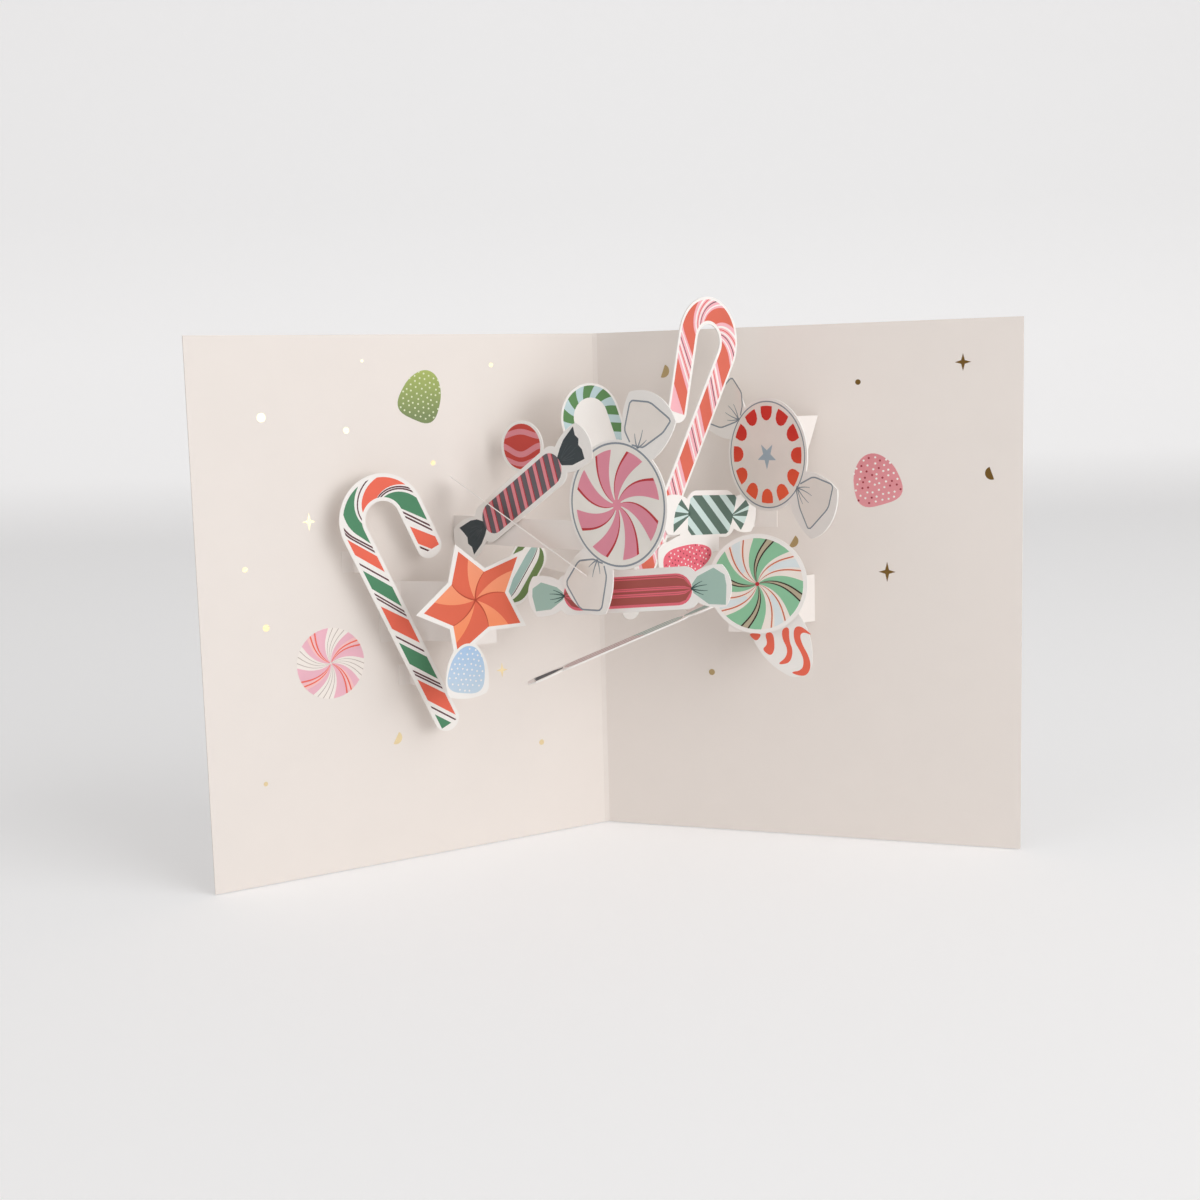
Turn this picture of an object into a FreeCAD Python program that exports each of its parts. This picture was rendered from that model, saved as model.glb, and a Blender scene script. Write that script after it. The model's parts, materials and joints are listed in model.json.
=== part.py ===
import FreeCAD, Part
import math
import os
import Sketcher

# A pop-up greeting card standing open: one folded sheet, die-cut candy shapes, and the folded
# paper struts that hold them off the two panels. Millimetres and degrees. The origin is the
# foot of the fold, +Z up, +X to the right and -Y towards the reader. Heights are above the foot.

HALF_TURN = 180.0

SIZES = {
    # the folded sheet
    "panel_width": 127.0,
    "panel_height": 152.4,
    "opening_angle": 129.1,
    "sheet_thickness": 0.5,
    "spine_flat": 1.6,
    # paper of the cut-outs and of the struts
    "cut_thickness": 0.4,
    "strut_thickness": 0.3,
    "cut_margin": 1.2,
    "glue_tab": 7.0,
    "spacer_tab": 3.5,
    "spacer_strip": 6.0,
    # twisted wrapper ends
    "wrapper_length": 11.5,
    "wrapper_spread": 15.0,
    "wrapper_neck": 5.0,
    "stick_body_width": 9.1,
    "stick_wrapper_length": 9.4,
    "stick_wrapper_spread": 8.8,
    "stick_wrapper_neck": 3.4,
    # green and red cane, parallel to the left panel
    "green_red_cane_reach": 75.5,
    "green_red_cane_standoff": 7.0,
    "green_red_cane_height": 100.8,
    "green_red_cane_hook": 13.0,
    "green_red_cane_strip": 7.7,
    "green_red_cane_shaft": 61.5,
    "green_red_cane_leg": 14.0,
    "green_red_cane_tilt": 25.0,
    "green_red_cane_upper_spacer_height": 86.0,
    "green_red_cane_lower_spacer_height": 52.0,
    # star with a gumdrop, parallel to the left panel
    "star_strut_root": 67.7,
    "star_strut_arm": 29.2,
    "star_strut_bottom": 65.0,
    "star_strut_strip": 17.2,
    "star_slide": -5.2,
    "star_height": 77.4,
    "star_reach": 17.0,
    "star_gumdrop_width": 10.8,
    "star_gumdrop_tall": 12.8,
    # small striped drop behind the star
    "striped_drop_slide": 9.0,
    "striped_drop_height": 84.5,
    "striped_drop_length": 20.0,
    "striped_drop_width": 11.0,
    "striped_drop_tilt": 55.0,
    # long strip from the left panel that holds the big swirl candy and the dark candy
    "long_strut_root": 49.4,
    "long_strut_turn": 48.0,
    "long_strut_arm": 72.0,
    "long_strut_bottom": 92.0,
    "long_strut_strip": 8.0,
    "big_swirl_slide": 64.0,
    "big_swirl_height": 104.8,
    "big_swirl_ring": 16.1,
    "big_swirl_wrapper_angle": 63.3,
    "dark_candy_slide": 28.0,
    "dark_candy_height": 106.6,
    "dark_candy_length": 36.9,
    "dark_candy_tilt": 31.5,
    # narrow strip seen edge-on across the dark candy
    "edge_on_strip_slide": 5.0,
    "edge_on_strip_height": 109.0,
    "edge_on_strip_length": 53.5,
    "edge_on_strip_width": 7.0,
    "edge_on_strip_pitch": 26.3,
    "edge_on_strip_roll": 61.4,
    # small red ball near the left panel
    "red_ball_strut_root": 26.0,
    "red_ball_strut_arm": 14.6,
    "red_ball_strut_heading": 93.1,
    "red_ball_strut_bottom": 117.0,
    "red_ball_strut_strip": 5.0,
    "red_ball_turn": 40.0,
    "red_ball_height": 119.6,
    "red_ball_radius": 6.65,
    # small green cane near the fold
    "small_cane_strut_root": 7.5,
    "small_cane_strut_arm": 21.0,
    "small_cane_strut_heading": 81.5,
    "small_cane_strut_bottom": 118.0,
    "small_cane_strut_strip": 8.0,
    "small_cane_slide": -0.9,
    "small_cane_height": 127.4,
    "small_cane_hook": 9.9,
    "small_cane_strip": 4.8,
    "small_cane_shaft": 26.0,
    "small_cane_leg": 4.0,
    "small_cane_tilt": 20.0,
    "small_cane_fill_drop": 10.0,
    # tall pink cane on a strip from the right panel
    "tall_cane_turn": 39.5,
    "tall_cane_strut_root": 49.2,
    "tall_cane_strut_arm": 40.0,
    "tall_cane_strut_bottom": 93.5,
    "tall_cane_strut_strip": 9.5,
    "tall_cane_slide": 20.0,
    "tall_cane_height": 148.1,
    "tall_cane_hook": 12.6,
    "tall_cane_strip": 7.7,
    "tall_cane_shaft": 80.5,
    "tall_cane_leg": 22.5,
    "tall_cane_flare": 18.0,
    "tall_cane_tilt": 14.0,
    # green striped candy with the pink gumdrop under it
    "green_candy_slide": 20.8,
    "green_candy_height": 98.9,
    "green_candy_body_length": 19.6,
    "green_candy_body_width": 11.2,
    "green_candy_wrapper_length": 7.4,
    "green_candy_wrapper_spread": 8.6,
    "green_candy_tilt": 3.0,
    "pink_gumdrop_beside": 10.2,
    "pink_gumdrop_below": 11.0,
    "pink_gumdrop_width": 9.6,
    "pink_gumdrop_tall": 21.0,
    "pink_gumdrop_tilt": 78.0,
    # ringed red candy on the right
    "ringed_candy_strut_root": 69.0,
    "ringed_candy_strut_arm": 19.6,
    "ringed_candy_strut_bottom": 108.0,
    "ringed_candy_strut_strip": 18.2,
    "ringed_candy_strut_slant": 7.0,
    "ringed_candy_turn": 58.0,
    "ringed_candy_slide": 1.1,
    "ringed_candy_height": 115.6,
    "ringed_candy_ring": 14.9,
    "ringed_candy_wrapper_angle": 36.0,
    # long red candy in the middle
    "long_candy_turn": 32.0,
    "long_candy_strut_root": 25.0,
    "long_candy_strut_arm": 47.0,
    "long_candy_strut_heading": 74.6,
    "long_candy_strut_bottom": 77.5,
    "long_candy_strut_strip": 6.5,
    "long_candy_slide": 12.8,
    "long_candy_height": 80.9,
    "long_candy_length": 40.0,
    "long_candy_tilt": 4.8,
    "long_candy_wrapper_length": 7.2,
    # mint swirl and the wavy gumdrop behind it
    "mint_strut_root": 66.9,
    "mint_strut_arm": 30.7,
    "mint_strut_bottom": 65.4,
    "mint_strut_strip": 14.0,
    "mint_turn": 22.0,
    "mint_slide": 8.3,
    "mint_height": 79.3,
    "mint_radius": 13.3,
    "wavy_drop_strut_root": 56.6,
    "wavy_drop_strut_arm": 21.2,
    "wavy_drop_strut_heading": 95.1,
    "wavy_drop_strut_bottom": 59.0,
    "wavy_drop_strut_strip": 6.0,
    "wavy_drop_slide": -0.9,
    "wavy_drop_height": 61.7,
    "wavy_drop_width": 12.8,
    "wavy_drop_tall": 18.5,
    "wavy_drop_tilt": 150.0,
    # mauve candy lying nearly flat
    "mauve_candy_left": 0.3,
    "mauve_candy_front": 62.0,
    "mauve_candy_height": 66.5,
    "mauve_candy_length": 36.0,
    "mauve_candy_pitch": 21.0,
    "mauve_candy_roll": 94.6,
    "mauve_strut_offset": 20.5,
    "mauve_strut_strip": 6.5,
}

doc = FreeCAD.newDocument("pop_up_card")
sheet = doc.addObject("Spreadsheet::Sheet", "Sizes")


class Size:
    """A number together with the sheet formula that gives it."""

    def __init__(self, value, text):
        self.value = value
        self.text = text

    def __add__(self, other):
        other = as_size(other)
        return Size(self.value + other.value, f"({self.text} + {other.text})")

    def __sub__(self, other):
        other = as_size(other)
        return Size(self.value - other.value, f"({self.text} - {other.text})")

    def __mul__(self, other):
        other = as_size(other)
        return Size(self.value * other.value, f"({self.text} * {other.text})")

    def __truediv__(self, other):
        other = as_size(other)
        return Size(self.value / other.value, f"({self.text} / {other.text})")

    def __neg__(self):
        return Size(-self.value, f"(0 - {self.text})")


def as_size(number):
    if isinstance(number, Size):
        return number
    if number < 0:
        return Size(float(number), f"(0 - {-number})")
    return Size(float(number), f"{number}")


def cosine(angle):
    return Size(math.cos(math.radians(angle.value)), f"cos({angle.text})")


def sine(angle):
    return Size(math.sin(math.radians(angle.value)), f"sin({angle.text})")


def fill_sheet():
    """Writes one row for each driving dimension and returns them as sizes."""
    named = {}
    for row, (alias, value) in enumerate(SIZES.items(), start=1):
        sheet.set(f"A{row}", alias.replace("_", " "))
        sheet.set(f"B{row}", str(value))
        sheet.setAlias(f"B{row}", alias)
        named[alias] = Size(value, f"Sizes.{alias}")
    doc.recompute()
    return named


s = fill_sheet()
half_opening = s["opening_angle"] * 0.5
panel_slope = as_size(90.0) - half_opening
flush = s["strut_thickness"] * 0.5


def turned(x, y, angle):
    """The point (x, y) turned about the origin."""
    x, y = as_size(x), as_size(y)
    return x * cosine(angle) - y * sine(angle), x * sine(angle) + y * cosine(angle)


def moved(point, heading, distance):
    return point[0] + cosine(heading) * distance, point[1] + sine(heading) * distance


def body_named(label):
    body = doc.addObject("PartDesign::Body", label)
    body.Label = label
    return body


def origin_plane(body, role):
    return next(item for item in body.Origin.OriginFeatures if item.Role == role)


def start_sketch(body, name, role):
    sketch = body.newObject("Sketcher::SketchObject", name)
    sketch.AttachmentSupport = (origin_plane(body, role), "")
    sketch.MapMode = "FlatFace"
    return sketch


def hold(sketch, constraint, size):
    """Adds a constraint and binds it to the sheet."""
    index = sketch.addConstraint(constraint)
    sketch.setExpression(f"Constraints[{index}]", size.text)


def arc_between(start, end, radius):
    """The short arc from start to end; a positive radius bulges to the right of travel."""
    middle = (start + end) * 0.5
    half = (end - start) * 0.5
    reach = math.sqrt(max(radius * radius - half.Length**2, 0.0))
    left = FreeCAD.Vector(-half.y, half.x, 0).normalize()
    centre = middle + left * math.copysign(reach, radius)
    first, last = (start, end) if radius > 0 else (end, start)
    begin = math.atan2(first.y - centre.y, first.x - centre.x)
    finish = math.atan2(last.y - centre.y, last.x - centre.x)
    circle = Part.Circle(centre, FreeCAD.Vector(0, 0, 1), abs(radius))
    return Part.ArcOfCircle(circle, begin, finish)


def draw_outline(sketch, corners):
    """Draws a closed outline. Each corner is (x, y) or (x, y, radius of the edge that follows)."""
    points = [FreeCAD.Vector(c[0].value, c[1].value, 0) for c in corners]
    edges = []
    for i, corner in enumerate(corners):
        start, end = points[i], points[(i + 1) % len(points)]
        if len(corner) == 2:
            edges.append((sketch.addGeometry(Part.LineSegment(start, end)), 1, 2))
        else:
            geometry = arc_between(start, end, corner[2].value)
            ends = (1, 2) if corner[2].value > 0 else (2, 1)
            edges.append((sketch.addGeometry(geometry), *ends))
    for i, (edge, first, last) in enumerate(edges):
        following, next_first, _ = edges[(i + 1) % len(edges)]
        join = Sketcher.Constraint("Coincident", edge, last, following, next_first)
        sketch.addConstraint(join)
    for corner, (edge, first, _) in zip(corners, edges):
        across = Sketcher.Constraint("DistanceX", -1, 1, edge, first, corner[0].value)
        hold(sketch, across, corner[0])
        up = Sketcher.Constraint("DistanceY", -1, 1, edge, first, corner[1].value)
        hold(sketch, up, corner[1])
        if len(corner) == 3:
            size = corner[2] if corner[2].value > 0 else -corner[2]
            hold(sketch, Sketcher.Constraint("Radius", edge, size.value), size)


def draw_circle(sketch, x, y, radius):
    centre = FreeCAD.Vector(x.value, y.value, 0)
    up = FreeCAD.Vector(0, 0, 1)
    edge = sketch.addGeometry(Part.Circle(centre, up, radius.value))
    hold(sketch, Sketcher.Constraint("DistanceX", -1, 1, edge, 3, x.value), x)
    hold(sketch, Sketcher.Constraint("DistanceY", -1, 1, edge, 3, y.value), y)
    hold(sketch, Sketcher.Constraint("Radius", edge, radius.value), radius)


def pad(body, sketch, name, length):
    feature = body.newObject("PartDesign::Pad", name)
    feature.Profile = sketch
    feature.setExpression("Length", length.text)
    body.Tip = feature
    return feature


def place(item, x, y, z, turn=None):
    """Sets the item's place, and turns it about the vertical."""
    for axis, size in zip("xyz", (x, y, z)):
        item.setExpression(f"Placement.Base.{axis}", as_size(size).text)
    if turn is not None:
        item.Placement.Rotation = FreeCAD.Rotation(FreeCAD.Vector(0, 0, 1), 1)
        item.setExpression("Placement.Rotation.Angle", turn.text)


def band(start, runs, thickness):
    """Plan outline of a folded strip whose middle line makes the runs (heading, length)."""
    offset = thickness * 0.5
    line = [start]
    for heading, length in runs:
        line.append(moved(line[-1], heading, length))
    headings = [heading for heading, _ in runs]
    near, far = [], []
    for i, (x, y) in enumerate(line):
        a = headings[max(i - 1, 0)]
        b = headings[min(i, len(headings) - 1)]
        # the bisector of the two runs' normals, long enough to reach both faces
        across = -(sine(a) + sine(b))
        along = cosine(a) + cosine(b)
        stretch = offset / (as_size(1.0) + cosine(a - b))
        near.append((x - across * stretch, y - along * stretch))
        far.append((x + across * stretch, y + along * stretch))
    return near + far[::-1]


def folded_strip(label, start, runs, bottom, strip, thickness):
    """A strip standing on edge, folded in plan, from bottom up."""
    body = body_named(label)
    sketch = start_sketch(body, label + "_plan", "XY_Plane")
    draw_outline(sketch, band(start, runs, thickness))
    pad(body, sketch, label + "_strip", strip)
    place(body, 0, 0, bottom)
    return body


def panel_root(side, distance):
    """A point on the strip's middle line, glued to a panel at a distance from the fold."""
    x = sine(half_opening) * distance * side
    y = -(cosine(half_opening) * distance)
    return x + cosine(half_opening) * flush * -side, y - sine(half_opening) * flush


def root_heading(side):
    """Heading from the tab's free end to its fold, along the panel towards the spine."""
    return panel_slope if side < 0 else as_size(HALF_TURN) - panel_slope


def outer_heading(side):
    """Heading along the panel away from the spine."""
    return as_size(HALF_TURN) + panel_slope if side < 0 else -panel_slope


class Strut:
    """A strip glued to a panel, with an arm that reaches into the opening."""

    def __init__(self, label, side, name, heading, tab=None, front=None, outward=False):
        root = panel_root(side, s[name + "_root"])
        tab = tab or s["glue_tab"]
        toward = outer_heading(side) if outward else root_heading(side)
        start = moved(root, toward, -tab)
        arm = s[name + "_arm"]
        runs = [(toward, tab), (heading, arm)]
        self.corner = moved(root, heading, arm)
        self.root = root
        self.heading = heading
        if front is not None:
            runs.append(front)
        bottom, strip = s[name + "_bottom"], s[name + "_strip"]
        self.body = folded_strip(label, start, runs, bottom, strip, s["strut_thickness"])


def lean_on(point, turn, slide, layer):
    """Plan place of a cut-out's back: slid along a strip's face, layer cut-outs in front."""
    x, y = moved(point, turn, slide)
    out = flush + s["cut_thickness"] * layer
    return x + sine(turn) * out, y - cosine(turn) * out


def cut_out(label, pieces, where, height, turn):
    """A flat cut-out standing upright, padded towards the reader from its back face."""
    body = body_named(label)
    for number, corners in enumerate(pieces, start=1):
        sketch = start_sketch(body, f"{label}_outline_{number}", "XZ_Plane")
        if isinstance(corners, tuple):
            draw_circle(sketch, *corners)
        else:
            draw_outline(sketch, corners)
        pad(body, sketch, f"{label}_card_{number}", s["cut_thickness"])
    place(body, where[0], where[1], height, turn)
    return body


def flat_piece(label, pieces, thickness, layer):
    """A flat piece whose front lies a number of cut-outs behind the local front plane."""
    body = body_named(label)
    for number, corners in enumerate(pieces, start=1):
        sketch = start_sketch(body, f"{label}_outline_{number}", "XZ_Plane")
        draw_outline(sketch, corners)
        card = pad(body, sketch, f"{label}_card_{number}", thickness)
        card.Reversed = layer > 0
    return body


def place_leaning(item, x, y, z, lean):
    """Places a piece by its yaw, pitch and roll."""
    yaw, pitch, roll = (angle.text for angle in lean)
    base = f"vector({as_size(x).text}; {as_size(y).text}; {as_size(z).text})"
    item.setExpression("Placement", f"placement({base}; rotation({yaw}; {pitch}; {roll}))")


def shifted(corners, x, y):
    return [(c[0] + x, c[1] + y, *c[2:]) for c in corners]


def rotated(corners, angle):
    return [(*turned(c[0], c[1], angle), *c[2:]) for c in corners]


def mirrored(corners):
    """The outline flipped left to right, still counter-clockwise."""
    flipped = []
    for i in range(len(corners) - 1, -1, -1):
        before = corners[i - 1]
        flipped.append((-corners[i][0], corners[i][1], *before[2:]))
    return flipped


def disc(radius, x=0.0, y=0.0):
    return (as_size(x), as_size(y), radius)


def fan(root, length, spread, neck, angle):
    """A wrapper's twisted end, spreading from its neck."""
    tip = root + length
    side = length * 1.3
    corners = [
        (root, -(neck * 0.5), side),
        (tip, -(spread * 0.5), spread * 0.75),
        (tip, spread * 0.5, side),
        (root, neck * 0.5),
    ]
    return rotated(corners, angle)


def wrapped_disc(ring, angle):
    margin = s["cut_margin"]
    root = ring * 0.85
    length = s["wrapper_length"] + ring * 0.15 + margin
    spread = s["wrapper_spread"] + margin * 2.0
    neck = s["wrapper_neck"] + margin * 2.0
    far_side = angle + HALF_TURN
    return [
        disc(ring + margin),
        fan(root, length, spread, neck, angle),
        fan(root, length, spread, neck, far_side),
    ]


def capsule(length, width, corner):
    """A rounded bar about the origin."""
    half_length, half_width = length * 0.5, width * 0.5
    inner_x, inner_y = half_length - corner, half_width - corner
    return [
        (-inner_x, -half_width),
        (inner_x, -half_width, corner),
        (half_length, -inner_y),
        (half_length, inner_y, corner),
        (inner_x, half_width),
        (-inner_x, half_width, corner),
        (-half_length, inner_y),
        (-half_length, -inner_y, corner),
    ]


def wrapped_bar(length, width, wrapper, spread, neck, angle):
    margin = s["cut_margin"]
    body = capsule(length + margin * 2.0, width + margin * 2.0, width * 0.42)
    root = length * 0.5 - margin
    reach = wrapper + margin * 2.0
    fans = [
        fan(root, reach, spread + margin * 2.0, neck + margin * 2.0, angle + end)
        for end in (0.0, HALF_TURN)
    ]
    return [rotated(body, angle), *fans]


def wrapped_stick(length, wrapper, angle):
    width, spread = s["stick_body_width"], s["stick_wrapper_spread"]
    return wrapped_bar(length, width, wrapper, spread, s["stick_wrapper_neck"], angle)


def gumdrop(width, tall, angle):
    """A dome with a slightly bowed base, about its middle."""
    margin = s["cut_margin"]
    across = width * 0.5 + margin
    up = tall * 0.5 + margin
    foot = (width + tall) * 0.15
    corners = [
        (-(across * 0.86), -up, width * 1.6),
        (across * 0.86, -up, foot),
        (across, -(up * 0.62), tall * 1.1),
        (across * 0.5, up * 0.82, width * 0.4),
        (-(across * 0.5), up * 0.82, tall * 1.1),
        (-across, -(up * 0.62), foot),
    ]
    return rotated(corners, angle)


def cane(hook, strip, shaft, leg, flare, tilt):
    """A cane with its hook about the origin and its shaft on the right."""
    inner = hook - strip
    cap = strip * 0.52
    down_x, down_y = -sine(flare), -cosine(flare)
    outer_x, outer_y = hook * cosine(flare), -(hook * sine(flare))
    inner_x, inner_y = inner * cosine(flare), -(inner * sine(flare))
    zero = as_size(0.0)
    corners = [
        (outer_x + down_x * shaft, outer_y + down_y * shaft),
        (outer_x, outer_y, hook),
        (zero, hook, hook),
        (-hook, zero),
        (-hook, -leg, cap),
        (-inner, -leg),
        (-inner, zero, -inner),
        (zero, inner, -inner),
        (inner_x, inner_y),
        (inner_x + down_x * shaft, inner_y + down_y * shaft, cap),
    ]
    return rotated(corners, tilt)


def folded_card():
    """The folded sheet: two panels and the narrow flat between the two scores of the spine."""
    flat = s["spine_flat"]
    out = s["sheet_thickness"] * 0.5
    panel = s["panel_width"] - flat * 0.5
    # the middle line runs behind the inner face, which passes through the origin's fold lines
    lift = out / cosine(panel_slope * 0.5)
    corner_angle = as_size(90.0) + panel_slope * 0.5
    fold_x = -(sine(half_opening) * flat * 0.5)
    fold_y = -(cosine(half_opening) * flat * 0.5)
    left_fold = moved((fold_x, fold_y), corner_angle, lift)
    width = -(left_fold[0]) * 2.0
    start = moved(left_fold, panel_slope, -panel)
    runs = [(panel_slope, panel), (as_size(0.0), width), (-panel_slope, panel)]
    return folded_strip(
        "folded_card", start, runs, as_size(0.0), s["panel_height"], s["sheet_thickness"]
    )


def build_green_red_cane():
    """Stands off the left panel on two small folded spacers behind its shaft."""
    off = s["green_red_cane_standoff"]
    reach = s["green_red_cane_reach"]
    corner = moved(panel_root(-1, reach), panel_slope - 90.0, off)
    hook, strip = s["green_red_cane_hook"], s["green_red_cane_strip"]
    shaft, leg = s["green_red_cane_shaft"], s["green_red_cane_leg"]
    tilt = s["green_red_cane_tilt"]
    outline = rotated(mirrored(cane(hook, strip, shaft, leg, as_size(0.0), as_size(0.0))), tilt)
    height = s["green_red_cane_height"]
    where = lean_on(corner, panel_slope, as_size(0.0), 0)
    cut_out("green_red_cane", [outline], where, height, panel_slope)
    middle = hook - strip * 0.5
    for level in ("upper", "lower"):
        bottom = s[f"green_red_cane_{level}_spacer_height"]
        # how far down the shaft the spacer lies, and so how far across its middle is
        drop = (height - bottom - s["spacer_strip"] * 0.5 - sine(tilt) * middle) / cosine(tilt)
        across = -(middle * cosine(tilt)) + drop * sine(tilt)
        root = moved(panel_root(-1, reach), panel_slope, across - s["spacer_tab"] * 0.5)
        start = moved(root, panel_slope, -s["spacer_tab"])
        runs = [
            (panel_slope, s["spacer_tab"]),
            (panel_slope - 90.0, off),
            (panel_slope, s["spacer_tab"]),
        ]
        folded_strip(
            f"green_red_cane_{level}_spacer",
            start,
            runs,
            bottom,
            s["spacer_strip"],
            s["strut_thickness"],
        )


# tips and notches of the hand-drawn star, counter-clockwise, as shares of its reach
STAR_POINTS = (
    (-0.35, 0.88), (-0.49, 0.32), (-1.03, -0.12), (-0.49, -0.38), (-0.42, -0.86),
    (0.18, -0.46), (0.80, -0.45), (0.52, 0.10), (0.78, 0.71), (0.13, 0.49),
)


def build_star():
    """The star and its gumdrop are one cut-out, with the striped drop glued behind them."""
    front = (as_size(HALF_TURN) + panel_slope, s["glue_tab"])
    strut = Strut("star_strut", -1, "star_strut", -panel_slope, front=front)
    grown = s["star_reach"] + s["cut_margin"] * 1.4
    corners = [(grown * across, grown * up) for across, up in STAR_POINTS]
    drop = gumdrop(s["star_gumdrop_width"], s["star_gumdrop_tall"], as_size(0.0))
    below = -(s["star_reach"] * 1.1)
    beside = -(s["star_reach"] * 0.25)
    where = lean_on(strut.corner, panel_slope, s["star_slide"], 0)
    pieces = [corners, shifted(drop, beside, below)]
    cut_out("star_with_gumdrop", pieces, where, s["star_height"], panel_slope)
    behind = lean_on(strut.corner, panel_slope, s["striped_drop_slide"], -1)
    length, width = s["striped_drop_length"], s["striped_drop_width"]
    leaf = capsule(length, width, width * 0.45)
    pieces = [rotated(leaf, s["striped_drop_tilt"])]
    cut_out("green_striped_drop", pieces, behind, s["striped_drop_height"], panel_slope)


def build_long_strut():
    """Carries the big swirl candy, with the dark candy glued over its edge."""
    turn = -s["long_strut_turn"]
    strut = Strut("big_swirl_strut", -1, "long_strut", turn, outward=True)
    slide = s["big_swirl_slide"]
    front = lean_on(strut.root, turn, slide, 0)
    pieces = wrapped_disc(s["big_swirl_ring"], s["big_swirl_wrapper_angle"])
    cut_out("big_swirl_candy", pieces, front, s["big_swirl_height"], turn)
    over = lean_on(strut.root, turn, s["dark_candy_slide"], 1)
    pieces = wrapped_stick(s["dark_candy_length"], s["stick_wrapper_length"], s["dark_candy_tilt"])
    cut_out("dark_striped_candy", pieces, over, s["dark_candy_height"], turn)
    on_face = lean_on(strut.root, turn, s["edge_on_strip_slide"], 2)
    body = body_named("edge_on_strip")
    sketch = start_sketch(body, "edge_on_strip_outline", "XZ_Plane")
    length, top = s["edge_on_strip_length"], s["edge_on_strip_width"]
    zero = as_size(0.0)
    draw_outline(sketch, [(zero, zero), (length, zero), (length, top), (zero, top)])
    pad(body, sketch, "edge_on_strip_card", s["strut_thickness"])
    height = s["edge_on_strip_height"]
    lean = (turn, s["edge_on_strip_pitch"], s["edge_on_strip_roll"])
    place_leaning(body, on_face[0], on_face[1], height, lean)


def build_red_ball():
    turn = -s["red_ball_turn"]
    front = (turn, s["spacer_tab"])
    heading = -s["red_ball_strut_heading"]
    tab = s["spacer_tab"]
    strut = Strut("red_ball_strut", -1, "red_ball_strut", heading, tab=tab, front=front)
    where = lean_on(strut.corner, turn, as_size(0.0), 0)
    ball = disc(s["red_ball_radius"] + s["cut_margin"] * 0.7)
    cut_out("red_ball", [ball], where, s["red_ball_height"], turn)


def build_small_cane():
    """The space inside its hook is left as plain card."""
    tab = s["spacer_tab"]
    front = (panel_slope, tab)
    heading = -s["small_cane_strut_heading"]
    name = "small_green_cane"
    strut = Strut(name + "_strut", -1, "small_cane_strut", heading, tab=tab, front=front)
    hook, strip = s["small_cane_hook"], s["small_cane_strip"]
    shaft, leg, tilt = s["small_cane_shaft"], s["small_cane_leg"], s["small_cane_tilt"]
    outline = cane(hook, strip, shaft, leg, as_size(0.0), tilt)
    inner = hook - strip * 0.7
    drop = -s["small_cane_fill_drop"]
    zero = as_size(0.0)
    fill = [(inner, drop), (inner, zero, inner), (zero, inner, inner), (-inner, zero), (-inner, drop)]
    where = lean_on(strut.corner, panel_slope, s["small_cane_slide"], 0)
    pieces = [outline, rotated(fill, tilt)]
    cut_out(name, pieces, where, s["small_cane_height"], panel_slope)


def build_tall_cane():
    """The tall cane, and the striped candy and gumdrop in front of it, share one strip."""
    turn = s["tall_cane_turn"]
    strut = Strut("tall_pink_cane_strut", 1, "tall_cane_strut", turn + HALF_TURN)
    flare, tilt = s["tall_cane_flare"], -s["tall_cane_tilt"]
    hook, strip = s["tall_cane_hook"], s["tall_cane_strip"]
    outline = cane(hook, strip, s["tall_cane_shaft"], s["tall_cane_leg"], flare, tilt)
    where = lean_on(strut.root, turn, -s["tall_cane_slide"], 0)
    cut_out("tall_pink_cane", [outline], where, s["tall_cane_height"], turn)
    length, width = s["green_candy_body_length"], s["green_candy_body_width"]
    wrapper, spread = s["green_candy_wrapper_length"], s["green_candy_wrapper_spread"]
    tilt = -s["green_candy_tilt"]
    pieces = wrapped_bar(length, width, wrapper, spread, width * 0.4, tilt)
    drop = gumdrop(s["pink_gumdrop_width"], s["pink_gumdrop_tall"], -s["pink_gumdrop_tilt"])
    beside, below = -s["pink_gumdrop_beside"], -s["pink_gumdrop_below"]
    half = width * 0.3
    bridge = [(beside - half, below), (half, below), (half, -half), (beside - half, -half)]
    pieces += [shifted(drop, beside, below), bridge]
    where = lean_on(strut.root, turn, -s["green_candy_slide"], 1)
    cut_out("green_candy_and_gumdrop", pieces, where, s["green_candy_height"], turn)


def build_ringed_candy():
    """Its strut shows beside it on the right, cut on the slant."""
    turn = -s["ringed_candy_turn"]
    back = as_size(HALF_TURN) + panel_slope
    front = (turn, s["glue_tab"])
    name = "ringed_candy_strut"
    strut = Strut(name, 1, name, back, front=front, outward=True)
    far, tall = strut.root[0], s["ringed_candy_strut_strip"]
    slant = s["ringed_candy_strut_slant"]
    away, over = s["glue_tab"], as_size(1.0)
    corners = [
        (far - slant, -over),
        (far + away, -over),
        (far + away, tall + over),
        (far, tall + over),
    ]
    sketch = start_sketch(strut.body, "ringed_candy_strut_slant", "XZ_Plane")
    draw_outline(sketch, corners)
    trim = strut.body.newObject("PartDesign::Pocket", "ringed_candy_strut_trim")
    trim.Profile = sketch
    trim.Type = "ThroughAll"
    trim.Midplane = True
    strut.body.Tip = trim
    where = lean_on(strut.corner, turn, s["ringed_candy_slide"], 0)
    pieces = wrapped_disc(s["ringed_candy_ring"], -s["ringed_candy_wrapper_angle"])
    cut_out("ringed_red_candy", pieces, where, s["ringed_candy_height"], turn)


def build_long_candy():
    turn = -s["long_candy_turn"]
    front = (turn, s["glue_tab"])
    heading = -s["long_candy_strut_heading"]
    strut = Strut("long_red_candy_strut", -1, "long_candy_strut", heading, front=front)
    where = lean_on(strut.corner, turn, s["long_candy_slide"], 0)
    wrapper = s["long_candy_wrapper_length"]
    pieces = wrapped_stick(s["long_candy_length"], wrapper, s["long_candy_tilt"])
    cut_out("long_red_candy", pieces, where, s["long_candy_height"], turn)


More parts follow.
